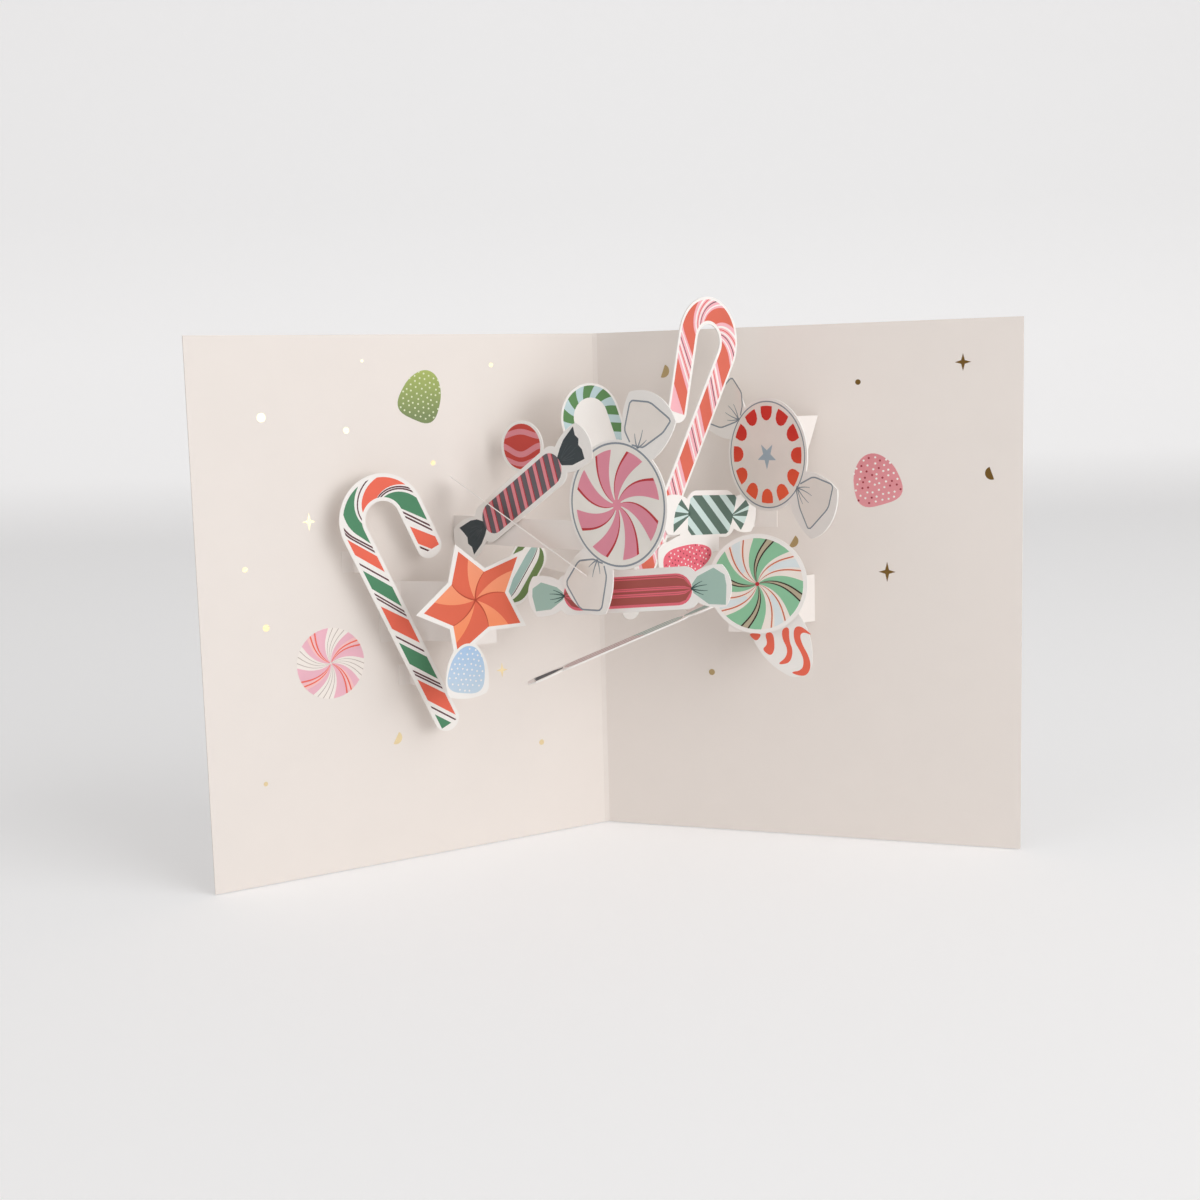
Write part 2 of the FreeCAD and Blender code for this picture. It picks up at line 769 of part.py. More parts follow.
def build_mint_and_drop():
    turn = -s["mint_turn"]
    back = as_size(HALF_TURN) + panel_slope
    front = (turn, s["glue_tab"])
    strut = Strut("mint_swirl_strut", 1, "mint_strut", back, front=front, outward=True)
    where = lean_on(strut.corner, turn, s["mint_slide"], 0)
    mint = disc(s["mint_radius"] + s["cut_margin"] * 0.8)
    cut_out("mint_swirl", [mint], where, s["mint_height"], turn)
    turn = -panel_slope
    tab = s["spacer_tab"]
    front = (turn + HALF_TURN, tab)
    heading = -s["wavy_drop_strut_heading"]
    strut = Strut("wavy_gumdrop_strut", 1, "wavy_drop_strut", heading, tab=tab, front=front)
    where = lean_on(strut.corner, turn, s["wavy_drop_slide"], 0)
    drop = gumdrop(s["wavy_drop_width"], s["wavy_drop_tall"], -s["wavy_drop_tilt"])
    cut_out("red_wavy_gumdrop", [drop], where, s["wavy_drop_height"], turn)


def build_mauve_candy():
    """Lies nearly flat, on a strip that runs back to the right panel under its right end."""
    lean = (as_size(0.0), -s["mauve_candy_pitch"], -s["mauve_candy_roll"])
    x, y, z = -s["mauve_candy_left"], -s["mauve_candy_front"], s["mauve_candy_height"]
    wrapper = s["long_candy_wrapper_length"]
    pieces = wrapped_stick(s["mauve_candy_length"], wrapper, as_size(0.0))
    candy = flat_piece("mauve_candy", pieces, s["cut_thickness"], 0)
    place_leaning(candy, x, y, z, lean)
    near, wide = s["mauve_strut_offset"], s["mauve_strut_strip"]
    low = -(s["stick_body_width"] * 0.4)
    slope = sine(panel_slope) / cosine(panel_slope)

    def reach(along):
        """How far back the right panel is, measured along the strip."""
        across = (x + cosine(lean[1]) * along) * slope + y
        return -across / (cosine(lean[2]) * sine(lean[1]) * slope - sine(lean[2])) - 0.03

    strip = [
        (near, low),
        (near + wide, low),
        (near + wide, reach(near + wide)),
        (near, reach(near)),
    ]
    strut = flat_piece("mauve_candy_strut", [strip], s["strut_thickness"], 1)
    place_leaning(strut, x, y, z, lean)


folded_card()
build_green_red_cane()
build_star()
build_long_strut()
build_red_ball()
build_small_cane()
build_tall_cane()
build_ringed_candy()
build_long_candy()
build_mint_and_drop()
build_mauve_candy()
doc.recompute()

for item in doc.Objects:
    if "Invalid" in item.State or "Error" in item.State:
        raise RuntimeError(f"{item.Label} did not rebuild: {item.State}")

nodes = [item for item in doc.Objects if item.TypeId == "PartDesign::Body"]
for node in nodes:
    if node.Shape.isNull() or not node.Shape.isValid():
        raise RuntimeError(f"{node.Label} has no valid solid")
    if len(node.Shape.Solids) != 1:
        raise RuntimeError(f"{node.Label} is {len(node.Shape.Solids)} solids")

os.makedirs("parts", exist_ok=True)
for node in nodes:
    node.Shape.exportStep(f"parts/{node.Label}.step")
    box = node.Shape.BoundBox
    print(f"{node.Label}: {box.XLength:.1f} x {box.YLength:.1f} x {box.ZLength:.1f} mm")
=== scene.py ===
import json
import math
import random

import bpy
from mathutils import Matrix, Vector


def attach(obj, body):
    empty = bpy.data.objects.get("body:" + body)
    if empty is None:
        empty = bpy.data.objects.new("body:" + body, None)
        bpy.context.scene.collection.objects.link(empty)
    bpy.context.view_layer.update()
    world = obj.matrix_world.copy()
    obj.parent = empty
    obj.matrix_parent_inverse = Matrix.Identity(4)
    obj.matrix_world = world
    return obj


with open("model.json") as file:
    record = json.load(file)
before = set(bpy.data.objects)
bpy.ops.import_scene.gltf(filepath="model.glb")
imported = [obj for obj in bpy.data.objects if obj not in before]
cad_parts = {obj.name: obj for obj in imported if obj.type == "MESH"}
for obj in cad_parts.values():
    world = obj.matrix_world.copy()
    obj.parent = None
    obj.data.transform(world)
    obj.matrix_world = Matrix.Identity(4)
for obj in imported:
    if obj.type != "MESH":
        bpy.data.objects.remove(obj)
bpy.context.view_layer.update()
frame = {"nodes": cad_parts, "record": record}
random.seed(7)
bpy.ops.object.select_all(action="DESELECT")

mm = 0.001
panelTurn = 25.45
turnSteps = 40
blankRadius = 0.01
foldMargin = 0.02
film = {"sink": 0.015, "step": 0.02, "thick": 0.03}


# an sRGB code as a linear colour
def linear(code):
    parts = [int(code[i:i + 2], 16) / 255 for i in (0, 2, 4)]
    return [p / 12.92 if p < 0.04045 else ((p + 0.055) / 1.055) ** 2.4 for p in parts] + [1]


def shade(code, amount):
    return [min(1, p * amount) for p in linear(code)[:3]] + [1]


# paper, ink and foil
grainLook = {"cloudScale": 90, "cloudDetail": 3, "fibreScale": (900, 900, 3400), "fibreDetail": 4,
             "bumpDepth": 0.0001}
sheetLook = {"shine": 0.3, "glossSpread": 0.08}


def makeGrain():
    group = bpy.data.node_groups.new("paperGrain", "ShaderNodeTree")
    face = group.interface
    face.new_socket("Mottle", in_out="OUTPUT", socket_type="NodeSocketFloat")
    face.new_socket("Fibre", in_out="OUTPUT", socket_type="NodeSocketFloat")
    face.new_socket("Normal", in_out="OUTPUT", socket_type="NodeSocketVector")
    face.new_socket("Tooth", in_out="INPUT", socket_type="NodeSocketFloat")
    nodes, links = group.nodes, group.links
    start, end = nodes.new("NodeGroupInput"), nodes.new("NodeGroupOutput")
    place = nodes.new("ShaderNodeTexCoord")
    cloud = nodes.new("ShaderNodeTexNoise")
    cloud.inputs["Scale"].default_value = grainLook["cloudScale"]
    cloud.inputs["Detail"].default_value = grainLook["cloudDetail"]
    stretch = nodes.new("ShaderNodeMapping")
    stretch.inputs["Scale"].default_value = grainLook["fibreScale"]
    fibre = nodes.new("ShaderNodeTexNoise")
    fibre.inputs["Scale"].default_value = 1
    fibre.inputs["Detail"].default_value = grainLook["fibreDetail"]
    bump = nodes.new("ShaderNodeBump")
    bump.inputs["Distance"].default_value = grainLook["bumpDepth"]
    links.new(place.outputs["Object"], cloud.inputs["Vector"])
    links.new(place.outputs["Object"], stretch.inputs["Vector"])
    links.new(stretch.outputs["Vector"], fibre.inputs["Vector"])
    links.new(fibre.outputs["Fac"], bump.inputs["Height"])
    links.new(start.outputs["Tooth"], bump.inputs["Strength"])
    links.new(cloud.outputs["Fac"], end.inputs["Mottle"])
    links.new(fibre.outputs["Fac"], end.inputs["Fibre"])
    links.new(bump.outputs["Normal"], end.inputs["Normal"])
    return group


grain = makeGrain()


# a change with height to a second colour
def fadeUp(nodes, links, source, low, high, second):
    place, split = nodes.new("ShaderNodeTexCoord"), nodes.new("ShaderNodeSeparateXYZ")
    rise, change = nodes.new("ShaderNodeMapRange"), nodes.new("ShaderNodeMix")
    rise.inputs["From Min"].default_value = low * mm
    rise.inputs["From Max"].default_value = high * mm
    change.data_type = "RGBA"
    change.inputs["B"].default_value = linear(second)
    links.new(place.outputs["Object"], split.inputs["Vector"])
    links.new(split.outputs["Z"], rise.inputs["Value"])
    links.new(rise.outputs["Result"], change.inputs["Factor"])
    links.new(source, change.inputs["A"])
    return change.outputs["Result"]


def sheetMaterial(name, code, rough, tooth, spread, metal=0.0, fade=None):
    material = bpy.data.materials.new(name)
    material.use_nodes = True
    nodes, links = material.node_tree.nodes, material.node_tree.links
    skin = nodes["Principled BSDF"]
    skin.inputs["Metallic"].default_value = metal
    skin.inputs["Specular IOR Level"].default_value = sheetLook["shine"]
    paper = nodes.new("ShaderNodeGroup")
    paper.node_tree = grain
    paper.inputs["Tooth"].default_value = tooth
    tone = nodes.new("ShaderNodeMix")
    tone.data_type = "RGBA"
    tone.inputs["A"].default_value = shade(code, 1 - spread)
    tone.inputs["B"].default_value = shade(code, 1 + spread)
    gloss = nodes.new("ShaderNodeMapRange")
    gloss.inputs["To Min"].default_value = rough - sheetLook["glossSpread"]
    gloss.inputs["To Max"].default_value = rough + sheetLook["glossSpread"]
    links.new(paper.outputs["Mottle"], tone.inputs["Factor"])
    colour = fadeUp(nodes, links, tone.outputs["Result"], *fade) if fade else tone.outputs["Result"]
    links.new(colour, skin.inputs["Base Color"])
    links.new(paper.outputs["Fibre"], gloss.inputs["Value"])
    links.new(gloss.outputs["Result"], skin.inputs["Roughness"])
    links.new(paper.outputs["Normal"], skin.inputs["Normal"])
    return material


inkLook = {"rough": 0.62, "tooth": 0.1, "spread": 0.08}
inkCodes = {
    "green": "4f8a66", "coral": "ee6c55", "plum": "5b2f38", "white": "f4f0ec",
    "pinkBand": "f2b4bd", "coralBand": "dc6c58", "leaf": "5f8b57", "ice": "bfd5d8",
    "swirlPink": "e894a6", "swirlEdge": "c23a40", "swirlGround": "f1ece5", "greyLine": "8f979f",
    "wrapGround": "f0e8e1", "stripeGrey": "6c656a", "stripePink": "e98f98", "starGrey": "a8bac6",
    "mint": "8fc6a0", "mintPale": "f3e9e0", "mintLine": "3b2d29", "mintTan": "b9ae94",
    "mintIce": "dde6e8", "thinCoral": "d0704f", "brick": "ad5852", "rose": "e8707e",
    "teal": "a6c2b6", "fold": "4a6460", "slate": "5d7469", "slatePale": "cfe3df",
    "berry": "ea6d7e", "darkRed": "9c3340", "night": "4c5357", "ink": "40484c",
    "ballRed": "cc4a41", "ballPink": "e38f98", "starDark": "e36a4f", "starSeam": "c24f38",
    "moss": "6d8650", "sea": "a3bfb8", "mauve": "c9a9a9", "oliveDot": "e2e8c8",
    "blushPale": "f6c4c4", "rosePale": "ecb6c4", "paleSwirl": "f3ebe4", "hairLine": "b9a9a2",
}
# the lower colour, then the heights between which it turns into the upper one
fadeCodes = {
    "oliveDrop": ("7f8f60", (129, 142, "a9b765")),
    "sky": ("c2d3e2", (52, 66, "a9c8ea")),
    "petal": ("f4603c", (105, 122, "d93328")),
    "blushDrop": ("e79aa0", (100, 115, "dc8d93")),
    "starLight": ("fb9060", (66, 90, "f9a07c")),
}
# gold foil; the tan and dark entries are painted shade: darker copies of the same foil that stand in for its
# dim reflection on the right panel, which faces away from the key light
foilCodes = {
    "foil": {"name": "ink_foil", "code": "ead5a8", "rough": 0.3, "spread": 0.08, "metal": 1.0},
    "foilPaintedShadeTan": {"name": "ink_foil_painted_shade_tan", "code": "bfa678", "rough": 0.35, "spread": 0.1, "metal": 0.6},
    "foilPaintedShadeDark": {"name": "ink_foil_painted_shade_dark", "code": "8a6a3a", "rough": 0.3, "spread": 0.1, "metal": 1.0},
}
foilTooth = 0.25
inks = {ink: sheetMaterial(f"ink_{ink}", code, **inkLook) for ink, code in inkCodes.items()}
for ink, foil in foilCodes.items():
    inks[ink] = sheetMaterial(tooth=foilTooth, **foil)
for ink, (code, fade) in fadeCodes.items():
    inks[ink] = sheetMaterial(f"ink_{ink}_fade", code, fade=fade, **inkLook)
print("inks made")


# outlines are lists of points in millimetres on a card's face
def turned(points, degrees, around=(0, 0)):
    c, s = math.cos(math.radians(degrees)), math.sin(math.radians(degrees))
    return [(around[0] + x * c - y * s, around[1] + x * s + y * c) for x, y in points]


def polar(radius, degrees, around=(0, 0)):
    a = math.radians(degrees)
    return (around[0] + radius * math.cos(a), around[1] + radius * math.sin(a))


def ring(radius, around=(0, 0), count=turnSteps):
    return [polar(radius, 360 * k / count, around) for k in range(count)]


def nextTo(points):
    return zip(points, points[1:] + points[:1])


def area(points):
    return sum(a[0] * b[1] - b[0] * a[1] for a, b in nextTo(points)) / 2


# the part of an outline inside a convex hull that runs counter-clockwise
def clipTo(points, hull):
    for (ax, ay), (bx, by) in nextTo(hull):
        def side(p):
            return (bx - ax) * (p[1] - ay) - (by - ay) * (p[0] - ax)
        kept = []
        for p, q in nextTo(points):
            sp, sq = side(p), side(q)
            if sp >= 0:
                kept.append(p)
            if sp * sq < 0:
                f = sp / (sp - sq)
                kept.append((p[0] + (q[0] - p[0]) * f, p[1] + (q[1] - p[1]) * f))
        points = kept
        if len(points) < 3:
            return []
    return points


# a curve from p to q that swells to the left by a share of its length
def bow(p, q, bulge, count=8):
    dx, dy = q[0] - p[0], q[1] - p[1]
    mid = ((p[0] + q[0]) / 2 - dy * bulge, (p[1] + q[1]) / 2 + dx * bulge)
    line = []
    for k in range(count + 1):
        t = k / count
        line.append(tuple((1 - t) ** 2 * p[i] + 2 * t * (1 - t) * mid[i] + t * t * q[i] for i in (0, 1)))
    return line


# a drawn line as an outline, with its own width at the far end if one is given
def stroke(line, wide, end=None):
    end = wide if end is None else end
    left, right = [], []
    for k, p in enumerate(line):
        a, b = line[max(0, k - 1)], line[min(len(line) - 1, k + 1)]
        dx, dy = b[0] - a[0], b[1] - a[1]
        size = math.hypot(dx, dy) or 1
        half = (wide + (end - wide) * k / (len(line) - 1)) / 2
        left.append((p[0] - dy / size * half, p[1] + dx / size * half))
        right.append((p[0] + dy / size * half, p[1] - dx / size * half))
    return left + right[::-1]


# a thin ring, as two half bands
def hoop(radius, wide, around=(0, 0)):
    halves = []
    for start in (0, 180):
        arc = [start + 180 * k / turnSteps for k in range(turnSteps + 1)]
        halves.append([polar(radius, a, around) for a in arc]
                      + [polar(radius - wide, a, around) for a in reversed(arc)])
    return halves


bladeForm = {"steps": 12, "rimSteps": 6, "curl": 1.15}


# a swirl's arm between two angles at the rim, bent towards the hub
def blade(inner, outer, low, high, bend, around=(0, 0), narrow=1.0):
    steps = [inner + (outer - inner) * k / bladeForm["steps"] for k in range(bladeForm["steps"] + 1)]
    mid, half = (low + high) / 2, (high - low) / 2

    def at(r, sign):
        share = 1 - r / outer
        wide = half * (1 + (narrow - 1) * share)
        return polar(r, mid + bend * share ** bladeForm["curl"] + sign * wide, around)
    rim = [polar(outer, low + (high - low) * k / bladeForm["rimSteps"], around)
           for k in range(1, bladeForm["rimSteps"])]
    return [at(r, -1) for r in steps] + rim + [at(r, 1) for r in reversed(steps)]


dropForm = {"dome": 0.9, "foot": 0.6, "crown": 0.85, "taper": 0.26, "fit": 0.92}


# a gumdrop: broad rounded foot, narrower dome
def drop(wide, tall, around=(0, 0), tilt=0.0):
    points = []
    for k in range(turnSteps):
        a = 2 * math.pi * k / turnSteps
        c, s = math.cos(a), math.sin(a)
        square = dropForm["dome"] if s > 0 else dropForm["foot"]
        reach = wide / 2 * (1 - dropForm["taper"] * s) * dropForm["fit"]
        points.append((reach * math.copysign(abs(c) ** square, c),
                       tall / 2 * math.copysign(abs(s) ** dropForm["crown"], s)))
    return turned(points, tilt, around)


# the same outline with its corners cut round
def smooth(points, share=0.25, rounds=2):
    for _ in range(rounds):
        soft = []
        for p, q in nextTo(points):
            soft += [tuple(p[i] * (1 - share) + q[i] * share for i in (0, 1)),
                     tuple(p[i] * share + q[i] * (1 - share) for i in (0, 1))]
        points = soft
    return points


# a sweet's body with round ends
def pill(half, radius, around=(0, 0)):
    straight = half - radius
    return [polar(radius, a, (around[0] + straight, around[1])) for a in range(-90, 91, 15)] + \
           [polar(radius, a, (around[0] - straight, around[1])) for a in range(90, 271, 15)]


# a band along a round-ended body, narrowing with it
def lengthwise(half, radius, low, high, count=20, least=0.02):
    steps = [-half + 2 * half * k / count for k in range(count + 1)]

    def reach(x):
        over = abs(x) - (half - radius)
        return radius * math.sqrt(max(least, 1 - (over / radius) ** 2)) if over > 0 else radius
    return [(x, low * reach(x)) for x in steps] + [(x, high * reach(x)) for x in reversed(steps)]


dotRows = {"jitter": 0.15, "rise": 0.87, "taper": 0.4, "margin": 1.6, "fill": 0.92, "otherShare": 0.3,
           "steps": 8}


# rows of small dots over a gumdrop, some of them in another ink
def sprinkle(ink, layer, wide, tall, around, tilt, dot, gap, other=None):
    shapes = []
    rows = int(tall / gap / 2) + 1
    jitter, margin = dotRows["jitter"], dot * dotRows["margin"]
    for row in range(-rows, rows + 1):
        for column in range(-rows, rows + 1):
            x = (column + row % 2 / 2) * gap + random.uniform(-jitter, jitter) * gap
            y = row * gap * dotRows["rise"] + random.uniform(-jitter, jitter) * gap
            reach = wide / 2 * (1 - dotRows["taper"] * y / tall) - margin
            if (x / reach) ** 2 + (y / (tall / 2 - margin)) ** 4 < dotRows["fill"]:
                pick = other if other and random.random() < dotRows["otherShare"] else ink
                centre = turned([(x, y)], tilt, around)[0]
                shapes.append((pick, layer, ring(dot, centre, dotRows["steps"])))
    return shapes


foldForm = {"shorten": 0.25, "bulge": 0.08, "steps": 6, "tip": 0.12}


# short creases that fan from a wrapper's neck
def folds(ink, layer, root, way, spread, count, long, wide=0.45):
    shapes = []
    for k in range(count):
        lean = spread * (2 * k / (count - 1) - 1)
        tip = polar(long * (1 - foldForm["shorten"] * abs(lean) / spread), way + lean, root)
        bulge = foldForm["bulge"] if lean > 0 else -foldForm["bulge"]
        shapes.append((ink, layer, stroke(bow(root, tip, bulge, foldForm["steps"]), wide, foldForm["tip"])))
    return shapes


# an end of clear wrapper: its ground, its drawn edge and its creases
def wrapperEnd(end, wrap):
    outline = smooth(end["outline"], wrap["rounding"])
    return [("wrapGround", 0, outline), ("greyLine", 1, stroke(outline[:-2], wrap["line"]))] + \
        folds("greyLine", 2, end["root"], end["way"], *wrap["folds"])


# a point on a cane: t runs down the shaft from the arch, w from inner edge -1 to outer edge 1
def canePoint(cane, t, w):
    r = cane["radius"] + w * cane["half"]
    arch = math.radians(cane["arch"]) * cane["radius"]
    if t >= 0:
        x, y = -r, -t
    else:
        a = math.pi - min(-t, arch) / cane["radius"]
        x, y = r * math.cos(a), r * math.sin(a)
        if -t > arch:
            x += (-t - arch) * math.sin(a)
            y -= (-t - arch) * math.cos(a)
    return turned([(x * cane["side"], y)], cane["tilt"])[0]


stripeStep = 1.1


# a slanting stripe across a cane, cut off at the cane's ends
def caneField(cane, outer, inner):
    arch = math.radians(cane["arch"]) * cane["radius"]
    low, high = -arch - cane["leg"], cane["shaft"]
    flat = clipTo([(outer[0], 1), (inner[0], -1), (inner[1], -1), (outer[1], 1)],
                  [(low, -1), (high, -1), (high, 1), (low, 1)])
    if not flat:
        return []
    fine = []
    for p, q in nextTo(flat):
        parts = max(1, math.ceil(math.hypot(q[0] - p[0], (q[1] - p[1]) * cane["half"]) / stripeStep))
        fine += [tuple(p[i] + (q[i] - p[i]) * k / parts for i in (0, 1)) for k in range(parts)]
    return [canePoint(cane, t, w) for t, w in fine]


# how a card is turned: about Z, then Y, then X
def heading(place):
    yaw, pitch, roll = (list(place[3:]) + [0, 0])[:3]
    return (Matrix.Rotation(math.radians(yaw), 3, "Z") @ Matrix.Rotation(math.radians(pitch), 3, "Y")
            @ Matrix.Rotation(math.radians(roll), 3, "X"))


def inkFilm(ink, layer, outline):
    if area(outline) < 0:
        outline = outline[::-1]
    bpy.ops.mesh.primitive_circle_add(vertices=len(outline), radius=blankRadius, fill_type="NGON",
                                      location=(0, 0, 0))
    shape = bpy.context.object
    blankArea = area([v.co[:2] for v in shape.data.vertices])
    flip = shape.data.polygons[0].normal.z * blankArea < 0
    if blankArea < 0:
        outline = outline[::-1]
    base = layer * film["step"] - film["sink"]
    for vertex, (u, v) in zip(shape.data.vertices, outline):
        vertex.co = (u * mm, v * mm, base * mm)
    if flip:
        shape.data.flip_normals()
    shape.data.materials.append(inks[ink])
    return shape


# one printed piece: thin films of ink on a card's front face, or on one half of the folded card
def printOn(spot, shapes, half=None):
    turn = heading(spot["place"])
    across, up, out = turn @ Vector((1, 0, 0)), turn @ Vector((0, 0, 1)), turn @ Vector((0, -1, 0))
    corners = [v.co for v in frame["nodes"][spot["node"]].data.vertices]
    level = max(p.dot(out) for p in corners if half is None or p.x * half > foldMargin)
    origin = Vector(spot["place"][:3]) * mm
    origin += out * (level - origin.dot(out))
    made = [inkFilm(*shape) for shape in shapes if len(shape[2]) > 2]
    bpy.ops.object.select_all(action="DESELECT")
    for shape in made:
        shape.select_set(True)
    bpy.context.view_layer.objects.active = made[0]
    if len(made) > 1:
        bpy.ops.object.join()
    piece = bpy.context.object
    piece.name = spot["print"]
    bpy.ops.object.modifier_add(type="SOLIDIFY")
    piece.modifiers[-1].thickness = film["thick"] * mm
    piece.modifiers[-1].offset = 1
    bpy.ops.object.modifier_apply(modifier=piece.modifiers[-1].name)
    stand = Matrix((across, up, out)).transposed().to_4x4()
    stand.translation = origin
    piece.data.transform(stand)
    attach(piece, "root")
    piece.select_set(False)
    return piece


paperLook = {"tooth": 0.12, "spread": 0.015}
papers = {
    "card_stock": sheetMaterial("fold_paper", "ede5df", 0.8, **paperLook),
    "strut_paper": sheetMaterial("strut_white", "efe8e3", 0.8, **paperLook),
    "cut_out_card": sheetMaterial("card_white", "f4f0ec", 0.72, **paperLook),
}
slotOf = {s["node"]: s["material_slot"] for s in frame["record"]["subparts"]}
for name, node in frame["nodes"].items():
    node.data.materials.clear()
    node.data.materials.append(papers[slotOf[name]])
print("papers set")

# each field and line of a cane says where it lies on the outer edge, then on the inner edge
greenRedCane = {
    "print": "green_red_cane_print", "node": "green_red_cane",
    "place": (-65.04, -39.04, 100.8, panelTurn),
    "radius": 9.15, "half": 2.8, "arch": 180, "leg": 14.6, "shaft": 62.6, "tilt": 25, "side": 1,
    "fields": [
        ("green", (-12.7, -5.6), (-3, 4.2)), ("coral", (-0.2, 4.7), (8.2, 13.3)),
        ("green", (9.7, 15.6), (18.2, 24.6)), ("coral", (21.3, 28.7), (29, 36.7)),
        ("green", (33.3, 40.4), (41.4, 48.9)), ("coral", (45.7, 52.8), (53.8, 61.3)),
        ("green", (57.6, 66), (66, 74)), ("coral", (-24.4, -17.4), (-16.1, -7.4)),
        ("green", (-35.3, -28.3), (-28.6, -19.2)), ("coral", (-46.3, -40.7), (-40, -34.4)),
    ],
    "lineWide": 0.75,
    "lines": [(-2.9, 5.1), (-1.9, 6.4), (7.2, 15.7), (16.9, 25.9), (18.3, 27.2), (30.9, 39.1),
              (42.4, 50.3), (43.6, 51.6), (54.7, 63.2), (-15.4, -4.9), (-26, -17), (-27, -18.2),
              (-37.5, -30.2), (-39, -31.6), (-48, -41.5)],
}
thin = greenRedCane["lineWide"]
shapes = [(ink, 0, caneField(greenRedCane, o, i)) for ink, o, i in greenRedCane["fields"]]
shapes += [("plum", 1, caneField(greenRedCane, (o, o + thin), (i, i + thin)))
           for o, i in greenRedCane["lines"]]
printOn(greenRedCane, shapes)

tallPinkCane = {
    "print": "tall_pink_cane_print", "node": "tall_pink_cane", "place": (29.02, -34.12, 148.1, 39.5),
    "radius": 8.85, "half": 3.0, "arch": 198, "leg": 22.6, "shaft": 80, "tilt": -32, "side": -1,
    "ground": (-60, 90),
    "coral": [
        ((-7.7, -13.1), (-13.6, -21.4)), ((-21.9, -29.2), (-30, -36.2)),
        ((-38.2, -45.6), (-46.6, -53.5)), ((1.3, 8.1), (-4.9, 2.8)), ((17.2, 23.4), (11.1, 17.9)),
        ((33.1, 39.6), (28.3, 34.7)), ((49.5, 56), (44.5, 51)), ((65.5, 72), (60.5, 67)),
        ((81, 86), (76, 82)),
    ],
    # fine lines between two coral bands: share of the way, ink, width
    "between": ((0.22, "white", 0.9), (0.38, "coralBand", 0.45), (0.52, "white", 0.7),
                (0.66, "plum", 0.4), (0.86, "white", 0.6)),
}
shapes = [("pinkBand", 0, caneField(tallPinkCane, tallPinkCane["ground"], tallPinkCane["ground"]))]
shapes += [("coralBand", 1, caneField(tallPinkCane, o, i)) for o, i in tallPinkCane["coral"]]
order = sorted(tallPinkCane["coral"], key=lambda band: min(band[0]))
for (o1, i1), (o2, i2) in zip(order, order[1:]):
    for share, ink, wide in tallPinkCane["between"]:
        o = max(o1) + (min(o2) - max(o1)) * share
        i = max(i1) + (min(i2) - max(i1)) * share
        shapes.append((ink, 1, caneField(tallPinkCane, (o - wide / 2, o + wide / 2),
                                         (i - wide / 2, i + wide / 2))))
printOn(tallPinkCane, shapes)

smallGreenCane = {
    "print": "small_green_cane_print", "node": "small_green_cane",
    "place": (-4.35, -24.65, 127.4, panelTurn),
    "radius": 7.5, "half": 1.75, "arch": 180, "leg": 3.6, "shaft": 25, "tilt": 20, "side": -1,
    "ground": (-60, 60), "pitch": 5.4, "wide": 2.9, "slant": 1.6, "stripes": 6,
}
shapes = [("ice", 0, caneField(smallGreenCane, smallGreenCane["ground"], smallGreenCane["ground"]))]
for k in range(-smallGreenCane["stripes"], smallGreenCane["stripes"]):
    o = smallGreenCane["pitch"] * k
    i = o - smallGreenCane["slant"]
    shapes.append(("leaf", 1, caneField(smallGreenCane, (o, o + smallGreenCane["wide"]),
                                        (i, i + smallGreenCane["wide"]))))
printOn(smallGreenCane, shapes)
print("canes printed")

star = {
    "print": "star_with_gumdrop_print", "node": "star_with_gumdrop",
    "place": (-39.33, -44.15, 77.4, panelTurn),
    "hub": (-1.0, 0.4), "fit": 0.965, "split": 0.38, "swell": 0.2, "hollow": -0.17,
    "seam": (0.5, 0.15),
    "tips": [(-5.9, 14.9), (-17.5, -2), (-7.2, -14.7), (13.6, -7.7), (13.3, 12)],
    "notches": [(-8.4, 5.5), (-8.4, -6.5), (3, -7.8), (8.8, 1.7), (2.2, 8.4)],
}
blueGumdrop = {"at": (-4.3, -19.0), "size": (12.0, 13.4), "tilt": -10, "border": (13.4, 14.8),
               "borderTilt": -6, "dots": (0.28, 1.65)}
shapes = [("starLight", 0, [p for pair in zip(star["tips"], star["notches"]) for p in pair])]
for k, tip in enumerate(star["tips"]):
    notch, before = star["notches"][k], star["notches"][k - 1]
    split = (tip[0] + (before[0] - tip[0]) * star["split"], tip[1] + (before[1] - tip[1]) * star["split"])
    ridge = bow(star["hub"], notch, star["swell"])
    shapes.append(("starDark", 1, ridge + [tip] + bow(split, star["hub"], star["hollow"])[:-1]))
    shapes.append(("starSeam", 2, stroke(ridge, *star["seam"])))
shapes = [(ink, layer, [(x * star["fit"], y * star["fit"]) for x, y in line])
          for ink, layer, line in shapes]
shapes.append(("white", 3, drop(*blueGumdrop["border"], blueGumdrop["at"], blueGumdrop["borderTilt"])))
shapes.append(("sky", 4, drop(*blueGumdrop["size"], blueGumdrop["at"], blueGumdrop["tilt"])))
shapes += sprinkle("white", 5, *blueGumdrop["size"], blueGumdrop["at"], blueGumdrop["tilt"],
                   *blueGumdrop["dots"])
printOn(star, shapes)

stripedDrop = {
    "print": "green_striped_drop_print", "node": "green_striped_drop",
    "place": (-26.68, -37.68, 84.5, panelTurn), "lean": 55,
    "body": (9.6, 5.2), "bandBody": (9.4, 5.1),
    "bands": (("moss", -0.98, -0.55), ("sea", -0.2, 0.25), ("mintLine", -0.28, -0.23), ("moss", 0.62, 0.98)),
}
shapes = [("white", 0, pill(*stripedDrop["body"]))]
for ink, low, high in stripedDrop["bands"]:
    shapes.append((ink, 1, lengthwise(*stripedDrop["bandBody"], low, high)))
shapes = [(ink, layer, turned(line, stripedDrop["lean"])) for ink, layer, line in shapes]
printOn(stripedDrop, shapes)

